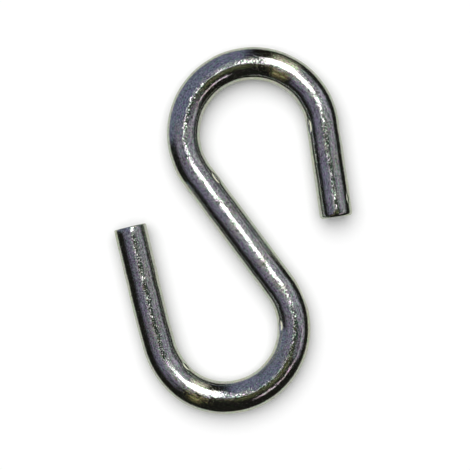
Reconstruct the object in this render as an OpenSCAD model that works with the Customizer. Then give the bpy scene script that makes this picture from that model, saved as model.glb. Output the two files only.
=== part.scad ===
// Wire S hook: one length of round wire, cut square at both ends and bent
// into two opposed hooks on a straight, slanted shank.
// It is described as a wire bender would make it, outwards from the middle of
// the shank: straight shank, upper or lower bend, straight leg.
// The finished hook lies flat on Z = 0 with its bend centres in line along Y.
// The origin is on that plane, in the middle of the hook's length and width.

/* [Wire] */
// Diameter of the round wire
wire_d = 5; // [3:0.1:7]
// Radius of the rounded edge round each cut end
end_edge_r = 0.5; // [0.1:0.1:1.4]

/* [Shank] */
// Straight length between the two bends
shank_len = 21.1; // [12:0.1:60]

/* [Upper hook] */
// Inside radius of the upper bend, where a ring or rail seats
upper_seat_r = 8.1; // [6:0.1:14]
// Angle that the upper bend turns the wire through
upper_turn = 208.23; // [180:0.01:220]
// Straight length of the upper leg, from its bend to its cut end
upper_leg_len = 14.4; // [5:0.1:22]

/* [Lower hook] */
// Inside radius of the lower bend, where a ring or rail seats
lower_seat_r = 8; // [6:0.1:14]
// Angle that the lower bend turns the wire through
lower_turn = 203.23; // [180:0.01:220]
// Straight length of the lower leg, from its bend to its cut end
lower_leg_len = 18.3; // [5:0.1:22]

/* [Hidden] */
$fn = 96;
wire_r = wire_d / 2;

// Bend radii to the middle of the wire
upper_bend_r = upper_seat_r + wire_r;
lower_bend_r = lower_seat_r + wire_r;

// Slant of the shank from the line through the two bend centres
shank_slant = atan2(upper_bend_r + lower_bend_r, shank_len);

// Angles that the legs lean outwards from that line
upper_splay = 180 + shank_slant - upper_turn;
lower_splay = 180 + shank_slant - lower_turn;

// The bend centres' distance up or down from the middle of the shank, and
// the line of centres' distance to its right
function centre_rise(bend_r) =
    bend_r * sin(shank_slant) + shank_len / 2 * cos(shank_slant);

centre_line_x =
    upper_bend_r * cos(shank_slant) - shank_len / 2 * sin(shank_slant);

// How far a leg's cut end reaches sideways from the line of centres
function leg_reach(bend_r, leg_len, splay) =
    (bend_r + wire_r - end_edge_r) * cos(splay)
    + (leg_len - end_edge_r) * sin(splay) + end_edge_r;

// How far the bent wire reaches from the middle of the shank, each way
top_y = centre_rise(upper_bend_r) + upper_bend_r + wire_r;
bottom_y = -centre_rise(lower_bend_r) - lower_bend_r - wire_r;
right_x = centre_line_x
    + leg_reach(upper_bend_r, upper_leg_len, upper_splay);
left_x = centre_line_x
    - leg_reach(lower_bend_r, lower_leg_len, lower_splay);

// Extra angle of bend that is trimmed off
trim_angle = 5;

// Straight wire from the origin along +Y
module straight(len) {
    rotate([-90, 0, 0])
        cylinder(r = wire_r, h = len);
}

// Straight wire from the origin along +Y, to a cut end with a rounded edge
module cut_leg(len) {
    rotate([-90, 0, 0])
        rotate_extrude() {
            square([wire_r, len - end_edge_r]);
            square([wire_r - end_edge_r, len]);
            translate([wire_r - end_edge_r, len - end_edge_r])
                circle(r = end_edge_r);
        }
}

// Wire that arrives at the origin along +Y and turns right through an angle.
// The bend is made a little long, then trimmed flat where its children start,
// and they carry on from that flat along their own +Y
module bend(bend_r, turn) {
    translate([bend_r, 0, 0]) {
        difference() {
            rotate(180)
                rotate_extrude(angle = -turn - trim_angle)
                    translate([bend_r, 0])
                        circle(r = wire_r);
            rotate(-turn)
                translate([-bend_r - wire_d, 0, -wire_d])
                    cube(2 * wire_d);
        }
        rotate(-turn)
            translate([-bend_r, 0, 0])
                children();
    }
}

// Half of the hook: half the shank, then one bend and its leg
module half_hook(bend_r, turn, leg_len) {
    straight(shank_len / 2);
    translate([0, shank_len / 2, 0])
        bend(bend_r, turn)
            cut_leg(leg_len);
}

// The two halves joined at the middle of the shank, then turned until the
// bend centres line up along Y, and laid on Z = 0 over the origin
module hook() {
    color("silver")
        translate([-(left_x + right_x) / 2, -(bottom_y + top_y) / 2, wire_r])
            rotate(shank_slant) {
                half_hook(upper_bend_r, upper_turn, upper_leg_len);
                rotate(180)
                    half_hook(lower_bend_r, lower_turn, lower_leg_len);
            }
}

hook();
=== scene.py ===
# Bright zinc plated wire S hook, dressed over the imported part.
# All lengths are in metres. The hook lies flat on Z = 0 with its length along Y.
import math

import bpy
import numpy as np
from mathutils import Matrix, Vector


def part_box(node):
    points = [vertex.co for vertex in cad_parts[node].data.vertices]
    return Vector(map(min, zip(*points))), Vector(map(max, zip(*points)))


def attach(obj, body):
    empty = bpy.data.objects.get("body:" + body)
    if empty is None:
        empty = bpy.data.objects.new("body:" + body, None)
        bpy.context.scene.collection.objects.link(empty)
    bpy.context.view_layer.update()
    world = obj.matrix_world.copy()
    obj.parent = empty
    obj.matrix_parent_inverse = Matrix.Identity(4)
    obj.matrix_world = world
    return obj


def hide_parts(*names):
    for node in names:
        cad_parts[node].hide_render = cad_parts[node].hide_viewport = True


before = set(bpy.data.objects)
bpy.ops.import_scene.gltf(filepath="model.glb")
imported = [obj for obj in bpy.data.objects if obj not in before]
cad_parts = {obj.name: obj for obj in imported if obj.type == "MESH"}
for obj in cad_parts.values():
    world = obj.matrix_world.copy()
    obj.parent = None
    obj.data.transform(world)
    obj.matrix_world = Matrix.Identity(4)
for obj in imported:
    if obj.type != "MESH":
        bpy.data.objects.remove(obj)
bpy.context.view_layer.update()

mm = 0.001


# ---- the hook ----
hook = {
    "node": "hook",
    "wireD": 5.0 * mm,
    "endEdge": {-1: 0.5 * mm, 1: 0.2 * mm},  # rounding of the upper and the lower cut end
    "shank": 21.1 * mm,
    "upperSeat": 8.1 * mm,  # inside radius of the bend
    "upperBend": 208.23,  # degrees
    "upperLeg": 14.4 * mm,
    "lowerSeat": 8.0 * mm,
    "lowerBend": 203.23,
    "lowerLeg": 18.3 * mm,
    "ringStep": 0.16 * mm,  # spacing of the mesh rings along the wire
    "ringPoints": 104,
    "edgeRings": 6,
    "faceRings": 12,
    "faceMiddle": 0.12 * mm,  # radius of the innermost ring of a cut face
    "seed": 7,
    "waveDepth": 0.035 * mm,  # slow unevenness left by drawing and bending
    "waveLength": (2.5 * mm, 8 * mm),
    "waveTurns": 3,  # most times that a wave winds round the wire
    "waves": 18,
    "waveReach": 14,  # the waves' sum that counts as half their depth
    "pinOutward": 0.6,  # how much deeper a pin's mark is towards the outer side
    "pinShines": 0.15,  # depth in millimetres from which a mark is fully polished
    "roll": {-1: (0.16 * mm, 1.3 * mm), 1: (0.14 * mm, 1.0 * mm)},  # at each sheared end: depth, length
    "faceSink": 0.10 * mm,  # how far the torn half of a cut face lies back
    "tornTop": 0.5 * mm,  # height at which a cut face starts to tear
    "tornOver": 1.2 * mm,  # and how far below that it is torn through
    "tornTilt": 0.25,  # slope of the line where it starts
    "tornLeast": 0.6,  # share of the sinking that its ridges leave
    "ridges": ((9500, 4000, 0.3), (21000, -9000, 0.2)),  # radians per metre across and up, share
    "rim": 0.4 * mm,  # width over which the tear fades out towards a face's edge
    "rimStart": 0.9,  # and how many such widths from the edge it starts
    # the tables below run along the wire, in millimetres from the upper leg's end
    # how far the lower leg strays to its left, in millimetres
    "stray": ((100, 0), (109, -0.28), (117, -0.09), (140, -0.09)),
    # how far single crystals of the plating lean
    "looseSkin": (
        (0, 0.15), (12, 0.14), (20, 0.08), (36, 0.07), (41, 0.23), (48, 0.24), (55, 0.11),
        (74, 0.11), (82, 0.15), (92, 0.14), (98, 0.10), (110, 0.13), (130, 0.18),
    ),
    # how far the whole skin leans towards the lower bend
    "skinLean": (
        (0, 0.034), (11, 0.034), (19, 0.004), (24, 0), (77, 0), (86, 0.025),
        (94, 0.02), (100, 0), (106, 0), (112, 0.034), (130, 0.034),
    ),
}
# marks of the bending pins, in millimetres: distance from the upper leg's end, degrees round the wire
# from its left flank, half length, half width, depth
pinMarks = (
    (14.3, 34, 1.5, 0.60, 0.16),
    (55.0, 34, 1.3, 0.60, 0.17),
    (57.2, 84, 0.16, 1.10, 0.008),
    (80.2, 146, 1.3, 0.60, 0.16),
    (105.6, 150, 1.3, 0.50, 0.10),
    (12.6, 176, 2.2, 1.20, 0.08),
    (2.6, 146, 1.1, 0.45, 0.07),
    (76.5, 6, 2.2, 1.20, 0.09),
)
wireR = hook["wireD"] / 2
upperR = hook["upperSeat"] + wireR
lowerR = hook["lowerSeat"] + wireR
slant = math.atan2(upperR + lowerR, hook["shank"])


def smooth(t):
    return t**2 * (3 - 2 * t)


def halfRoute(d, heading, bendR, turn):
    # places and headings at distances d outwards from the middle of the shank
    straight = np.minimum(d, hook["shank"] / 2)
    turned = np.clip((d - hook["shank"] / 2) / bendR, 0, math.radians(turn))
    leg = np.maximum(d - hook["shank"] / 2 - bendR * math.radians(turn), 0)
    now = heading - turned
    x = straight * math.cos(heading) + bendR * (math.sin(heading) - np.sin(now)) + leg * np.cos(now)
    y = straight * math.sin(heading) + bendR * (np.cos(now) - math.cos(heading)) + leg * np.sin(now)
    return x, y, now


upperLength = hook["shank"] / 2 + upperR * math.radians(hook["upperBend"]) + hook["upperLeg"]
lowerLength = hook["shank"] / 2 + lowerR * math.radians(hook["lowerBend"]) + hook["lowerLeg"]


def route(s):
    # s runs from -upperLength at the upper leg's end to lowerLength at the lower leg's end
    up = halfRoute(np.maximum(-s, 0), math.pi / 2 + slant, upperR, hook["upperBend"])
    down = halfRoute(np.maximum(s, 0), slant - math.pi / 2, lowerR, hook["lowerBend"])
    x = np.where(s < 0, up[0], down[0])
    y = np.where(s < 0, up[1], down[1])
    heading = np.where(s < 0, up[2] + math.pi, down[2])
    return x, y, heading


def ringPlan():
    # one row per ring: distance along the wire, radius; the first and last rows close the cut faces
    edges = hook["endEdge"]
    count = round((upperLength + lowerLength) / hook["ringStep"])
    body = np.linspace(-upperLength + edges[-1], lowerLength - edges[1], count)
    corner = np.radians(np.linspace(0, 90, hook["edgeRings"] + 1))[1:]
    ends = []
    for sign, tip in ((-1, -upperLength), (1, lowerLength)):
        edge = edges[sign]
        face = np.linspace(wireR - edge, hook["faceMiddle"], hook["faceRings"] + 1)[1:]
        s = np.concatenate([tip - sign * edge * (1 - np.sin(corner)), np.full(len(face), tip)])
        r = np.concatenate([wireR - edge * (1 - np.cos(corner)), face])
        ends.append((s, r))
    s = np.concatenate([ends[0][0][::-1], body, ends[1][0]])
    r = np.concatenate([ends[0][1][::-1], np.full(count, wireR), ends[1][1]])
    return s, r


def sinkAt(s, phi):
    # how far the skin lies below the plain wire, never above it, and how much the pins polished it
    rng = np.random.default_rng(hook["seed"])
    waves = np.zeros(np.broadcast(s, phi).shape)
    for _ in range(hook["waves"]):
        length = rng.uniform(*hook["waveLength"])
        turns = rng.integers(-hook["waveTurns"], hook["waveTurns"] + 1)
        waves += np.cos(2 * math.pi * (s / length + rng.uniform()) + turns * phi)
    sink = hook["waveDepth"] * np.clip(0.5 + waves / hook["waveReach"], 0, 1)
    polish = np.zeros(sink.shape)
    for start, angle, halfLength, halfWidth, depth in pinMarks:
        along = (s + upperLength - start * mm) / (halfLength * mm)
        turned = (phi - math.radians(angle) + math.pi) % (2 * math.pi) - math.pi
        around = wireR * turned / (halfWidth * mm)
        press = np.clip(1 - along**2 - around**2, 0, 1)
        outward = -around * math.copysign(1, math.cos(math.radians(angle)))
        sink = sink + depth * mm * press**2 * (1 + hook["pinOutward"] * outward)
        polish = np.maximum(polish, press * min(1, depth / hook["pinShines"]))
    for sign, tip in ((-1, -upperLength), (1, lowerLength)):
        depth, length = hook["roll"][sign]
        near = np.clip(1 - np.abs(tip - s) / length, 0, 1)
        sink = sink + depth * near**2 * (0.5 + 0.5 * np.sin(phi)) ** 2
    return sink, polish


def faceSinkAt(across, height):
    # the cut starts smooth at the top and tears towards the bottom
    torn = np.clip((hook["tornTop"] - height + hook["tornTilt"] * across) / hook["tornOver"], 0, 1)
    rough = 0.5
    for sideways, upwards, part in hook["ridges"]:
        rough = rough + part * np.sin(sideways * across + upwards * height)
    least = hook["tornLeast"]
    return hook["faceSink"] * smooth(torn) * (least + (1 - least) * rough)


def makeHook():
    s, r = ringPlan()
    n = hook["ringPoints"]
    phi = np.linspace(0, 2 * math.pi, n, endpoint=False)
    x, y, heading = route(s)
    rings = len(s)
    plain = np.stack([x - np.sin(heading) * wireR, y + np.cos(heading) * wireR], 1)
    plain = np.concatenate([plain, np.stack([2 * x, 2 * y], 1) - plain])
    low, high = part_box(hook["node"])
    middle = (np.array(low + high) - np.array([*(plain.min(0) + plain.max(0)), 0])) / 2  # of the CAD part

    knots, strays = zip(*hook["stray"])
    along = (s + upperLength) / mm
    step = np.clip(np.searchsorted(knots, along) - 1, 0, len(knots) - 2)
    part = smooth(np.clip((along - np.take(knots, step)) / np.take(np.diff(knots), step), 0, 1))
    stray = (np.take(strays, step) * (1 - part) + np.take(strays, step + 1) * part) * mm
    x = x - np.sin(heading) * stray
    y = y + np.cos(heading) * stray

    share = r[:, None] / wireR
    sink, polish = sinkAt(s[:, None], phi)
    sunk = r[:, None] - sink * share
    across = sunk * np.cos(phi)
    height = sunk * np.sin(phi)
    onFace = np.minimum(s + upperLength, lowerLength - s) < 1e-7
    inside = np.clip((wireR - r) / hook["rim"] - hook["rimStart"], 0, 1)[:, None]
    back = faceSinkAt(across, height) * onFace[:, None] * inside
    back *= -np.sign(s)[:, None]
    co = np.empty((rings, n, 3))
    co[..., 0] = x[:, None] - np.sin(heading)[:, None] * across + np.cos(heading)[:, None] * back
    co[..., 1] = y[:, None] + np.cos(heading)[:, None] * across + np.sin(heading)[:, None] * back
    co[..., 2] = height
    place = np.stack([np.broadcast_to(s[:, None], across.shape), across, height], 2)
    tips = co[[0, -1]].mean(1)
    tipPlaces = place[[0, -1]].mean(1)
    co = np.concatenate([co.reshape(-1, 3), tips]) + middle
    place = np.concatenate([place.reshape(-1, 3), tipPlaces])

    a = (np.arange(rings - 1)[:, None] * n + np.arange(n)).ravel()
    b = (np.arange(rings - 1)[:, None] * n + (np.arange(n) + 1) % n).ravel()
    faces = np.stack([a, a + n, b + n, b], 1).tolist()
    first, last = len(co) - 2, len(co) - 1
    for k in range(n):
        faces.append((first, k, (k + 1) % n))
        faces.append((last, (rings - 1) * n + (k + 1) % n, (rings - 1) * n + k))
    mesh = bpy.data.meshes.new("wireHook")
    mesh.from_pydata(co.tolist(), [], faces)
    mesh.shade_smooth()
    layer = mesh.attributes.new("wirePlace", "FLOAT_VECTOR", "POINT")
    layer.data.foreach_set("vector", place.astype(np.float32).ravel())
    polish = np.concatenate([polish.ravel(), [0, 0]])
    mesh.attributes.new("pinPolish", "FLOAT", "POINT").data.foreach_set("value", polish.astype(np.float32))
    for name in ("looseSkin", "skinLean"):
        spots, values = zip(*hook[name])
        level = np.interp((place[:, 0] + upperLength) / mm, spots, values)
        mesh.attributes.new(name, "FLOAT", "POINT").data.foreach_set("value", level.astype(np.float32))
    layOut(mesh, place, rings, n)
    piece = bpy.data.objects.new("wireHook", mesh)
    bpy.context.scene.collection.objects.link(piece)
    return piece


# the skin unrolls into strips one above the other, and the two cut faces lie beside them
layout = {
    "side": 49.2 * mm,  # of the square that all of it fits in
    "strips": 3,
    "stripStep": 16.3 * mm,
    "margin": (0.4 * mm, 0.3 * mm),
    "faceAt": (46.4 * mm, 6 * mm),  # middle of the upper leg's cut face
    "faceStep": 8 * mm,  # from there up to the lower leg's
    "faceScale": 0.45,
    "faceRim": 0.34 * mm,  # the edge outside this belongs to the strips
}


def layOut(mesh, place, rings, n):
    strips = layout["strips"]
    cuts = np.linspace(-upperLength, lowerLength, strips + 1)
    corners = np.empty(len(mesh.loops), dtype=np.int32)
    mesh.loops.foreach_get("vertex_index", corners)
    starts = np.empty(len(mesh.polygons), dtype=np.int32)
    mesh.polygons.foreach_get("loop_start", starts)
    faceOf = np.repeat(np.arange(len(starts)), np.diff(np.append(starts, len(corners))))
    point = place[corners]
    count = np.bincount(faceOf)
    middleS = np.bincount(faceOf, point[:, 0]) / count
    strip = np.clip(np.searchsorted(cuts, middleS) - 1, 0, strips - 1)[faceOf]
    around = np.where(corners < rings * n, corners % n, 0)
    lap = np.zeros(len(starts), dtype=bool)
    quads = (rings - 1) * n
    lap[:quads] = np.arange(quads) % n == n - 1
    around = around + n * (lap[faceOf] & (around == 0))
    uv = np.empty((len(corners), 2))
    uv[:, 0] = point[:, 0] - cuts[strip] + layout["margin"][0]
    uv[:, 1] = strip * layout["stripStep"] + around * 2 * math.pi * wireR / n + layout["margin"][1]
    # the cut faces
    reach = np.hypot(point[:, 1], point[:, 2])
    isFlat = (np.bincount(faceOf, reach) / count < wireR - layout["faceRim"])[faceOf]
    end = np.where(point[isFlat, 0] < 0, 0, 1)
    right, up = layout["faceAt"]
    uv[isFlat, 0] = right + layout["faceScale"] * point[isFlat, 1]
    uv[isFlat, 1] = up + layout["faceStep"] * end + layout["faceScale"] * point[isFlat, 2]
    layer = mesh.uv_layers.new(name="OFBake")
    layer.data.foreach_set("uv", (uv / layout["side"]).astype(np.float32).ravel())


wireHook = makeHook()
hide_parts(hook["node"])
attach(wireHook, "root")
print("hook swept,", len(wireHook.data.polygons), "faces")


# ---- node helpers ----
def addNode(tree, kind, **settings):
    node = tree.nodes.new(kind)
    for name, value in settings.items():
        setattr(node, name, value)
    return node


def plug(tree, value, socket):
    # a socket of another node is linked, and anything else is set as a plain value
    if isinstance(value, bpy.types.NodeSocket):
        tree.links.new(value, socket)
    else:
        socket.default_value = value


def calc(tree, operation, *values, clamp=False):
    node = addNode(tree, "ShaderNodeMath", operation=operation, use_clamp=clamp)
    for socket, value in zip(node.inputs, values):
        plug(tree, value, socket)
    return node.outputs[0]


def vectorMath(tree, operation, *values):
    node = addNode(tree, "ShaderNodeVectorMath", operation=operation)
    sockets = [node.inputs[0], node.inputs["Scale"]] if operation == "SCALE" else node.inputs
    for socket, value in zip(sockets, values):
        plug(tree, value, socket)
    return node.outputs["Value"] if operation == "DOT_PRODUCT" else node.outputs[0]


def ease(tree, value, start, end, low=0.0, high=1.0):
    # smooth step from low at start to high at end
    node = addNode(tree, "ShaderNodeMapRange", interpolation_type="SMOOTHSTEP")
    names = ("Value", "From Min", "From Max", "To Min", "To Max")
    for name, setting in zip(names, (value, start, end, low, high)):
        plug(tree, setting, node.inputs[name])
    return node.outputs[0]


def mixColour(tree, factor, a, b):
    node = addNode(tree, "ShaderNodeMix", data_type="RGBA")
    plug(tree, factor, node.inputs[0])
    plug(tree, a, node.inputs[6])
    plug(tree, b, node.inputs[7])
    return node.outputs[2]


def noiseAt(tree, vector, stretch, detail):
    # stretch is the size of a feature along each axis
    scaled = vectorMath(tree, "DIVIDE", vector, stretch)
    node = addNode(tree, "ShaderNodeTexNoise", noise_dimensions="3D")
    plug(tree, scaled, node.inputs["Vector"])
    node.inputs["Scale"].default_value = 1.0
    node.inputs["Detail"].default_value = detail
    return node.outputs["Fac"]


# ---- zinc plate ----
# a "noise" is the size of its features along and across the wire, and its detail
# a "from" is the two levels between which something sets in, and where given its shares at both
zinc = {
    "grey": (0.515, 0.515, 0.523, 1),
    "blue": (0.468, 0.484, 0.53, 1),
    "straw": (0.53, 0.523, 0.452, 1),
    "green": (0.39, 0.562, 0.452, 1),
    "plum": (0.538, 0.445, 0.569, 1),
    "pore": (0.218, 0.211, 0.203, 1),
    "shine": (0.702, 0.757, 0.686, 1),
    "polished": (0.98, 0.97, 0.92, 1),  # where the bending pins rubbed
    "tintNoise": ((4 * mm, 2 * mm, 2 * mm), 2.0),  # slow patches of tint in the clear passivation
    "blueFrom": (0.42, 0.72),
    "strawFrom": (0.50, 0.30),
    "fleckNoise": ((0.5 * mm, 0.3 * mm, 0.3 * mm), 2.0),  # small flecks of it
    "greenFrom": (0.52, 0.66),
    "plumFrom": (0.46, 0.34),
    "speckNoise": ((0.22 * mm, 0.2 * mm, 0.2 * mm), 1.0),  # crystal grains of the zinc, dull and bright
    "poreFrom": (0.48, 0.36),
    "shineFrom": (0.54, 0.68),
    "speckShare": 0.7,
    "polishFrom": (0.25, 0.6),
    "roughLow": 0.08,
    "roughHigh": 0.13,
    "roughFrom": (0.3, 0.7),
    "roughMore": 0.14,  # added on the bright grains
    "roughLess": -0.05,  # and where the pins rubbed
    "peel": 14e-6,  # height of the plating's uneven skin, in metres
    "peelNoise": ((0.30 * mm, 0.26 * mm, 0.26 * mm), 3.0),
    "patchNoise": ((0.9 * mm, 0.6 * mm, 0.6 * mm), 1.0),  # the skin is uneven in patches of this size
    "patchFrom": (0.46, 0.62, 0.2, 1.0),  # and then from a fifth of it to all
    "calmFrom": (0.11, 0.25, 0.6, 1.0),  # and less so where the crystals lean less
    "lines": 3e-6,  # of the lines left by the drawing die
    "linesNoise": ((3 * mm, 0.2 * mm, 0.2 * mm), 2.0),
    "grain": 5e-6,  # and of the finest grain
    "grainNoise": ((0.17 * mm, 0.15 * mm, 0.15 * mm), 1.0),
    "facetSize": (0.2 * mm, 0.17 * mm, 0.17 * mm),  # single crystals that lean
    "looseNoise": ((0.7 * mm, 0.5 * mm, 0.5 * mm), 1.0),  # they lean in clusters of this size
    "looseFrom": (0.44, 0.60),
    # and most on the top and underside, which rub on other hooks: height at which the sides end, height
    # at which the top starts, share on the sides and on the top
    "rubbed": (2.15 * mm, 2.38 * mm, 0.3, 1.0),
    "leanTowards": (0.26, -0.97, 0.0),  # where the whole skin leans, in the frame
}


def makeZinc():
    material = bpy.data.materials.new("brightZinc")
    material.use_nodes = True
    tree = material.node_tree
    shader = tree.nodes["Principled BSDF"]
    shader.inputs["Metallic"].default_value = 1.0
    place = addNode(tree, "ShaderNodeAttribute", attribute_name="wirePlace").outputs["Vector"]
    looseSkin = addNode(tree, "ShaderNodeAttribute", attribute_name="looseSkin").outputs["Fac"]
    skinLean = addNode(tree, "ShaderNodeAttribute", attribute_name="skinLean").outputs["Fac"]
    pinPolish = addNode(tree, "ShaderNodeAttribute", attribute_name="pinPolish").outputs["Fac"]

    # the uneven skin
    peel = noiseAt(tree, place, *zinc["peelNoise"])
    lines = noiseAt(tree, place, *zinc["linesNoise"])
    grain = noiseAt(tree, place, *zinc["grainNoise"])
    patch = ease(tree, noiseAt(tree, place, *zinc["patchNoise"]), *zinc["patchFrom"])
    height = calc(tree, "MULTIPLY", calc(tree, "SUBTRACT", peel, 0.5), zinc["peel"])
    height = calc(tree, "MULTIPLY", height, patch)
    height = calc(tree, "MULTIPLY", height, ease(tree, looseSkin, *zinc["calmFrom"]))
    height = calc(tree, "MULTIPLY_ADD", lines, zinc["lines"], height)
    height = calc(tree, "MULTIPLY_ADD", grain, zinc["grain"], height)
    bump = addNode(tree, "ShaderNodeBump")
    bump.inputs["Strength"].default_value = 1.0
    bump.inputs["Distance"].default_value = 1.0
    plug(tree, height, bump.inputs["Height"])

    # crystals that lean each their own way
    facets = addNode(tree, "ShaderNodeTexVoronoi", feature="F1")
    facets.inputs["Scale"].default_value = 1.0
    plug(tree, vectorMath(tree, "DIVIDE", place, zinc["facetSize"]), facets.inputs["Vector"])
    tilt = vectorMath(tree, "SUBTRACT", facets.outputs["Color"], (0.5, 0.5, 0.5))
    loose = ease(tree, noiseAt(tree, place, *zinc["looseNoise"]), *zinc["looseFrom"])
    loose = calc(tree, "MULTIPLY", loose, looseSkin)
    parts = addNode(tree, "ShaderNodeSeparateXYZ")
    plug(tree, place, parts.inputs[0])
    top = calc(tree, "ABSOLUTE", parts.outputs["Z"])
    loose = calc(tree, "MULTIPLY", loose, ease(tree, top, *zinc["rubbed"]))
    tilt = vectorMath(tree, "SCALE", tilt, loose)
    tilt = vectorMath(tree, "ADD", tilt, vectorMath(tree, "SCALE", zinc["leanTowards"], skinLean))
    normal = vectorMath(tree, "NORMALIZE", vectorMath(tree, "ADD", bump.outputs["Normal"], tilt))
    plug(tree, normal, shader.inputs["Normal"])

    # tints, pores and grains
    slow = noiseAt(tree, place, *zinc["tintNoise"])
    fleck = noiseAt(tree, place, *zinc["fleckNoise"])
    speck = noiseAt(tree, place, *zinc["speckNoise"])
    colour = mixColour(tree, ease(tree, slow, *zinc["blueFrom"]), zinc["grey"], zinc["blue"])
    colour = mixColour(tree, ease(tree, slow, *zinc["strawFrom"]), colour, zinc["straw"])
    colour = mixColour(tree, ease(tree, fleck, *zinc["greenFrom"]), colour, zinc["green"])
    colour = mixColour(tree, ease(tree, fleck, *zinc["plumFrom"]), colour, zinc["plum"])
    dark = ease(tree, speck, *zinc["poreFrom"], 0.0, zinc["speckShare"])
    colour = mixColour(tree, dark, colour, zinc["pore"])
    bright = ease(tree, speck, *zinc["shineFrom"])
    colour = mixColour(tree, calc(tree, "MULTIPLY", bright, zinc["speckShare"]), colour, zinc["shine"])
    polish = ease(tree, pinPolish, *zinc["polishFrom"])
    colour = mixColour(tree, polish, colour, zinc["polished"])
    plug(tree, colour, shader.inputs["Base Color"])
    rough = ease(tree, peel, *zinc["roughFrom"], zinc["roughLow"], zinc["roughHigh"])
    rough = calc(tree, "MULTIPLY_ADD", bright, zinc["roughMore"], rough)
    rough = calc(tree, "MULTIPLY_ADD", polish, zinc["roughLess"], rough)
    plug(tree, rough, shader.inputs["Roughness"])
    return material


wireHook.data.materials.append(makeZinc())
print("zinc plate made")


# ---- camera, straight above the hook ----
view = {
    "lens": 200.0,
    "sensor": 36.0,
    "width": 71.2 * mm,  # what the view takes in at the height of the wire's middle
    "lean": 8.35,  # degrees that the hook's length leans clockwise in it
    "over": Vector((0.575 * mm, -0.765 * mm, wireR)),  # the point at its middle
    "clip": (10 * mm, 10.0),
}
camera = bpy.data.objects.new("camera", bpy.data.cameras.new("camera"))
bpy.context.scene.collection.objects.link(camera)
camera.data.lens = view["lens"]
camera.data.sensor_width = view["sensor"]
camera.location = view["over"] + Vector((0, 0, view["width"] * view["lens"] / view["sensor"]))
camera.rotation_euler = (0, 0, math.radians(view["lean"]))
camera.data.clip_start, camera.data.clip_end = view["clip"]
bpy.context.scene.camera = camera
print("camera set")


# ---- studio ----
studio = {
    "floorSize": 4.0,
    "floorColour": (0.9, 0.9, 0.9, 1),
    "floorWhite": (1.0, 1.0, 1.0, 1),  # how the floor reads to the camera
    "floorMirrored": (0.769, 0.788, 0.654, 1),  # and in the metal
    "nearFloor": 6 * mm,  # the metal mirrors the floor fully up to this distance
    "farFloor": 11 * mm,  # and not at all from this one
}


def towards(azimuth, zenith):
    # a direction from the hook; azimuth 0 is the right hand side of the view, and 90 its top
    a = math.radians(azimuth + view["lean"])
    z = math.radians(zenith)
    return Vector((math.cos(a) * math.sin(z), math.sin(a) * math.sin(z), math.cos(z)))


def makeFloor():
    half = studio["floorSize"] / 2
    mesh = bpy.data.meshes.new("floor")
    corners = [(-half, -half, 0), (half, -half, 0), (half, half, 0), (-half, half, 0)]
    mesh.from_pydata(corners, [], [(0, 1, 2, 3)])
    floor = bpy.data.objects.new("floor", mesh)
    bpy.context.scene.collection.objects.link(floor)
    material = bpy.data.materials.new("paleFloor")
    material.use_nodes = True
    tree = material.node_tree
    tree.nodes.clear()
    path = addNode(tree, "ShaderNodeLightPath").outputs
    mirrored = calc(tree, "MAXIMUM", path["Is Glossy Ray"], path["Is Transmission Ray"])
    colour = mixColour(tree, path["Is Camera Ray"], studio["floorColour"], studio["floorWhite"])
    colour = mixColour(tree, mirrored, colour, studio["floorMirrored"])
    lit = addNode(tree, "ShaderNodeBsdfDiffuse")
    plug(tree, colour, lit.inputs["Color"])
    far = ease(tree, path["Ray Length"], studio["nearFloor"], studio["farFloor"])
    far = calc(tree, "MULTIPLY", far, path["Is Glossy Ray"])
    clear = addNode(tree, "ShaderNodeBsdfTransparent")
    both = addNode(tree, "ShaderNodeMixShader")
    plug(tree, far, both.inputs[0])
    plug(tree, lit.outputs[0], both.inputs[1])
    plug(tree, clear.outputs[0], both.inputs[2])
    out = addNode(tree, "ShaderNodeOutputMaterial")
    plug(tree, both.outputs[0], out.inputs["Surface"])
    mesh.materials.append(material)


makeFloor()

# what the metal mirrors of the room, each a soft field laid over those before it: middle azimuth, half
# width, edge; zenith angles where it starts, is full, is still full, is gone; colour
fields = {
    "blueWall": (138, 38, 12, 0, 0, 114, 124, (0.231, 0.246, 0.341)),
    "paleWall": (15, 32, 14, 0, 0, 68, 86, (0.385, 0.378, 0.41)),
    "plumWall": (348, 6, 10, 0, 0, 42, 58, (0.218, 0.199, 0.237)),
    "greyWall": (200, 22, 14, 0, 0, 40, 72, (0.244, 0.226, 0.297)),
    "softCeiling": (226, 12, 12, 0, 0, 10, 32, (0.397, 0.385, 0.423)),
    "darkSpot": (2, 30, 20, 2, 8, 22, 30, (0.058, 0.09, 0.064)),
    "oliveShade": (304, 18, 16, 3, 9, 22, 40, (0.125, 0.135, 0.065)),
    "paleCeiling": (100, 8, 12, 6, 12, 18, 34, (0.538, 0.538, 0.513)),
    "plumLedge": (312, 15, 5, 48, 51, 54, 57, (1.8, 1.46, 1.6)),
    "dimLedge": (345, 12, 8, 55, 58, 61, 65, (0.769, 0.641, 0.718)),
    "zenithSpot": (352, 28, 8, 0, 0, 8, 13, (0.038, 0.058, 0.044)),
    "leftSpot": (186, 12, 8, 0, 0, 10, 16, (0.064, 0.09, 0.071)),
    "keyTail": (24, 8, 10, 3, 8, 14, 30, (0.705, 0.692, 0.667)),
    "oliveStreak": (246.5, 0, 6, 3, 8, 26, 90, (0.462, 0.397, 0.179)),
    "warmStreak": (64, 5, 8, 3, 8, 30, 112, (1.103, 1.064, 0.769)),
    "keyRight": (49, 13, 6, 0, 3, 22, 32, (5.2, 5.13, 4.97)),
    "keyLeft": (70, 9, 8, 4, 8, 38, 48, (5.2, 5.13, 4.97)),
    "keyBack": (211, 9, 5, 0, 0, 4, 6.5, (5.2, 5.13, 4.97)),
}
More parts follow.
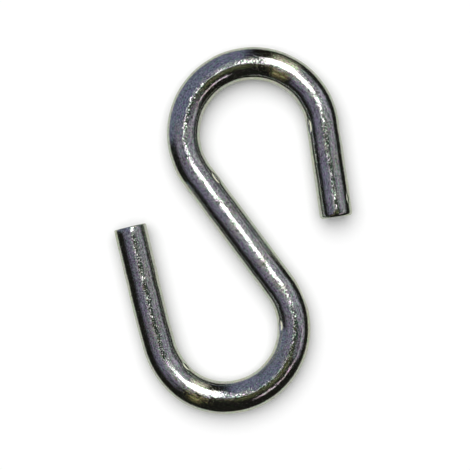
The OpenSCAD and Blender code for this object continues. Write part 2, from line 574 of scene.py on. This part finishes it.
# walls with small things before them
untidy = ("oliveShade", "paleWall", "greyWall", "softCeiling", "plumWall", "oliveStreak", "warmStreak")
clutter = {
    "noise": ((0.11, 0.11, 0.11), 2.0),
    "from": (0.36, 0.64, 0.35, 1.75),  # noise levels, then the shares of the wall's colour at them
}
roomDark = (0.018, 0.018, 0.014, 1)  # between the fields
dome = {"focus": 2.0, "level": (0.04, 0.041, 0.042)}  # dim light on the floor from all around
notThrown = 0.95  # share of the mirrored room that the metal doesn't throw on the floor
# the lamp that throws the shadow
sun = {"azimuth": 111, "zenith": 15, "angle": 72, "strength": 3.19, "away": 0.5}


def cosine(degrees):
    return math.cos(math.radians(degrees))


def makeWorld():
    world = bpy.data.worlds.new("studio")
    bpy.context.scene.world = world
    world.use_nodes = True
    world.cycles.sampling_method = "NONE"  # mirrored or dim and even, so the rays find it well enough
    tree = world.node_tree
    background = tree.nodes["Background"]
    ray = addNode(tree, "ShaderNodeTexCoord").outputs["Generated"]
    parts = addNode(tree, "ShaderNodeSeparateXYZ")
    plug(tree, ray, parts.inputs[0])
    rise = parts.outputs["Z"]
    flat = vectorMath(tree, "NORMALIZE", vectorMath(tree, "MULTIPLY", ray, (1, 1, 0)))
    things = ease(tree, noiseAt(tree, ray, *clutter["noise"]), *clutter["from"])
    colour = roomDark
    for name, (azimuth, half, edge, start, full, still, gone, tint) in fields.items():
        near = vectorMath(tree, "DOT_PRODUCT", flat, towards(azimuth, 90))
        share = ease(tree, near, cosine(half + edge), cosine(half))
        share = calc(tree, "MULTIPLY", share, ease(tree, rise, cosine(gone), cosine(still)))
        if full > 0:
            share = calc(tree, "MULTIPLY", share, ease(tree, rise, cosine(start), cosine(full)))
        seen = (*tint, 1)
        if name in untidy:
            messy = addNode(tree, "ShaderNodeCombineColor")
            for socket, value in zip(messy.inputs[:3], tint):
                plug(tree, calc(tree, "MULTIPLY", things, value), socket)
            seen = messy.outputs[0]
        colour = mixColour(tree, share, colour, seen)
    aim = calc(tree, "POWER", calc(tree, "MAXIMUM", rise, 0.0), dome["focus"])
    even = addNode(tree, "ShaderNodeCombineColor")
    for socket, level in zip(even.inputs[:3], dome["level"]):
        plug(tree, calc(tree, "MULTIPLY", aim, level * (dome["focus"] + 2) / 2), socket)
    path = addNode(tree, "ShaderNodeLightPath").outputs
    thrown = calc(tree, "MULTIPLY", path["Diffuse Depth"], notThrown, clamp=True)
    colour = mixColour(tree, thrown, colour, roomDark)
    colour = mixColour(tree, path["Is Diffuse Ray"], colour, even.outputs[0])
    colour = mixColour(tree, path["Is Camera Ray"], colour, studio["floorWhite"])
    plug(tree, colour, background.inputs["Color"])
    background.inputs["Strength"].default_value = 1.0


def makeSun():
    light = bpy.data.lights.new("sun", "SUN")
    light.energy = sun["strength"]
    light.angle = math.radians(sun["angle"])
    lamp = bpy.data.objects.new("sun", light)
    bpy.context.scene.collection.objects.link(lamp)
    aim = towards(sun["azimuth"], sun["zenith"])
    lamp.rotation_euler = aim.to_track_quat("Z", "Y").to_euler()
    lamp.location = aim * sun["away"]
    lamp.visible_glossy = False  # the metal mirrors the fields instead


makeWorld()
makeSun()

bpy.context.scene.view_settings.view_transform = "Standard"
print("studio set")
